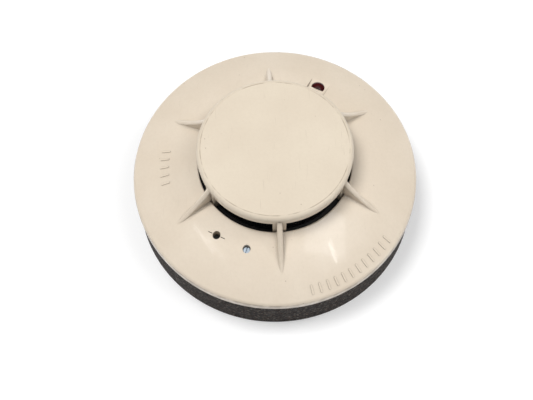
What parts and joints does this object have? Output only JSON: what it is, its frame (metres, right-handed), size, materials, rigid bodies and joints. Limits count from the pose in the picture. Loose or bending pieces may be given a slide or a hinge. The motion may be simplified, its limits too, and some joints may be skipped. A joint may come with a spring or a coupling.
{
  "type": "heat detector",
  "caption": "Round ceiling heat detector: a finned sensing head with a raised cap, air vents and indicator, twist-locked into a round mounting base.",
  "frame": {"origin": "centre of the mounting base's back face, which lies against the ceiling", "axes": "+Z along the axis from the ceiling face to the cap; +Y through one fin"},
  "size_m": [0.155, 0.155, 0.0576],
  "materials": {
    "cover_plastic": "cream flame-retardant plastic, fine satin texture, slightly aged",
    "chassis_plastic": "cream moulded plastic",
    "base_plastic": "dark brown-grey coarse-textured plastic",
    "chamber_plastic": "matt black plastic",
    "screen_metal": "blackened fine screen",
    "seal_foam": "closed-cell foam",
    "contact_bronze": "rolled phosphor bronze",
    "plated_steel": "bright zinc plate",
    "board_laminate": "green lacquered glass laminate",
    "bead_resin": "dipped resin bead",
    "lens_red": "polished clear red, unlit",
    "emitter_resin": "clear resin",
    "component_plastic": "moulded epoxy",
    "trimmer_plastic": "blue moulded plastic",
    "can_aluminium": "drawn can",
    "chip_ceramic": "fired ceramic",
    "disc_resin": "dipped blue resin",
    "plunger_plastic": "dark moulded plastic",
    "rotor_plastic": "pale blue-grey moulded plastic"
  },
  "bodies": {
    "base": {"mounting_base": "base_plastic", "contact_springs": "contact_bronze", "terminal_clamps": "plated_steel", "terminal_screws": "plated_steel"},
    "head": {"chassis": "chassis_plastic", "contact_blades": "contact_bronze", "contact_rivets": "contact_bronze", "circuit_board": "board_laminate", "board_screws": "plated_steel", "cover": "cover_plastic", "cover_screws": "plated_steel", "seal_ring": "seal_foam", "chamber_base": "chamber_plastic", "insect_screen": "screen_metal", "chamber_cap": "cover_plastic", "sensing_thermistor": "bead_resin", "reference_thermistor": "bead_resin", "led_lens": "lens_red", "led_emitter": "emitter_resin", "test_switch": "component_plastic", "trimmer_body": "trimmer_plastic", "microcontroller": "component_plastic", "electrolytic_capacitors": "can_aluminium", "chip_resistors": "component_plastic", "chip_capacitors": "chip_ceramic", "bridge_rectifier": "component_plastic", "voltage_regulator": "component_plastic", "surge_suppressor": "disc_resin"},
    "test_button": {"test_plunger": "plunger_plastic"},
    "trim_shaft": {"trimmer_rotor": "rotor_plastic"}
  },
  "joints": [
    {"name": "head_twist", "type": "hinge", "parent": "base", "child": "head", "pos_m": [0, 0, 0], "axis": [0, 0, 1], "range_deg": [0, 18]},
    {"name": "test_press", "type": "slide", "parent": "head", "child": "test_button", "axis": [0, 0, -1], "range_m": [0, 0.0006], "stiffness_N_per_m": 1500},
    {"name": "trim_turn", "type": "hinge", "parent": "head", "child": "trim_shaft", "pos_m": [-0.01755, -0.04874, 0.03], "axis": [0, 0, 1], "range_deg": [-130, 130]}
  ]
}
